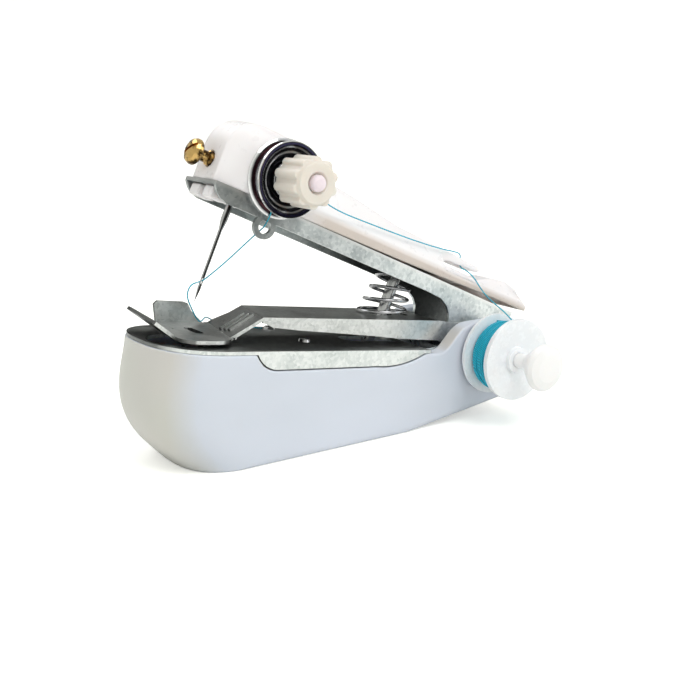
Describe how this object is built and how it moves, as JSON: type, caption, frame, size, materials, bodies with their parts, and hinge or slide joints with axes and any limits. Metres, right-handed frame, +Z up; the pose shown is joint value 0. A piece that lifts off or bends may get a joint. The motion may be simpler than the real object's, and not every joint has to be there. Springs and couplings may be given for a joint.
{
  "type": "handheld sewing machine",
  "caption": "Pocket sewing machine squeezed like a stapler: white case, sheet-steel deck and presser foot, sprung needle arm with thread tension knob, and a side bobbin of teal thread.",
  "frame": {"origin": "the middle of the flat underside of the case, where the machine stands", "axes": "+X runs from the needle end to the bobbin end, +Y from the bobbin and knob side to the plain side, +Z up from the underside"},
  "size_m": [0.1138, 0.0525, 0.0764],
  "materials": {
    "case_white": "smooth moulded white plastic",
    "cover_white": "smooth moulded warm white plastic",
    "zinc_steel": "galvanised sheet steel with a fine spangle",
    "presser_steel": "darker rolled sheet steel",
    "bright_steel": "turned bright steel",
    "spring_steel": "nickel-plated spring wire",
    "needle_steel": "polished needle steel",
    "disc_chrome": "polished chrome",
    "screw_brass": "polished brass",
    "knob_milky": "milky translucent beige plastic",
    "cap_pink": "pale pink plastic",
    "button_white": "smooth white plastic",
    "bobbin_white": "slightly translucent white plastic",
    "bearing_nylon": "natural nylon",
    "thread_teal": "polyester sewing thread"
  },
  "bodies": {
    "base": {"lower_shell": "case_white", "deck_plate": "zinc_steel", "deck_rivets": "zinc_steel", "pivot_tube": "bright_steel", "bobbin_spindle": "button_white", "bobbin_washer": "bright_steel", "front_bearing": "bearing_nylon", "rear_bearing": "bearing_nylon", "return_spring": "spring_steel"},
    "presser": {"presser_arm": "presser_steel", "main_spring": "spring_steel", "needle_tail": "thread_teal"},
    "arm": {"upper_arm": "zinc_steel", "top_cover": "cover_white", "needle": "needle_steel", "needle_bush": "bright_steel", "tension_stud": "bright_steel", "inner_tension_disc": "disc_chrome", "outer_tension_disc": "disc_chrome", "tension_spring": "spring_steel", "spring_post": "bright_steel", "post_nut": "bright_steel", "upper_thread": "thread_teal", "needle_thread": "thread_teal"},
    "clamp_screw": {"needle_screw": "screw_brass"},
    "knob": {"tension_knob": "knob_milky", "knob_cap": "cap_pink"},
    "bobbin_reel": {"bobbin": "bobbin_white", "bobbin_thread": "thread_teal"},
    "looper": {"looper_shaft": "bright_steel", "looper_hook": "bright_steel"}
  },
  "joints": [
    {"name": "arm_press", "type": "hinge", "parent": "base", "child": "arm", "pos_m": [0.0547, 0, 0.0173], "axis": [0, -1, 0], "range_deg": [0, 16], "stiffness_Nm_per_rad": 0.8, "springref_deg": -14.32, "deforming": ["main_spring", "needle_tail", "needle_thread"]},
    {"name": "presser_lift", "type": "hinge", "parent": "base", "child": "presser", "pos_m": [0.0547, 0, 0.0173], "axis": [0, 1, 0], "range_deg": [0, 1.5], "stiffness_Nm_per_rad": 2, "springref_deg": -1.15},
    {"name": "bobbin_spin", "type": "hinge", "parent": "base", "child": "bobbin_reel", "pos_m": [0.0547, 0, 0.0173], "axis": [0, -1, 0], "continuous": true},
    {"name": "knob_turn", "type": "hinge", "parent": "arm", "child": "knob", "pos_m": [-0.00275, -0.015, 0.06357], "axis": [0, -1, 0], "range_deg": [-180, 360]},
    {"name": "needle_screw_turn", "type": "hinge", "parent": "arm", "child": "clamp_screw", "pos_m": [-0.01591, 0, 0.06768], "axis": [-0.9135, 0, 0.4067], "range_deg": [0, 360]},
    {"name": "looper_rock", "type": "hinge", "parent": "base", "child": "looper", "pos_m": [0.00186, 0.0095, 0.01876], "axis": [0.9912, 0, -0.1323], "range_deg": [0, 40]}
  ],
  "couplings": [
    {"joint": "looper_rock", "follows": "arm_press", "ratio": 2.5}
  ]
}
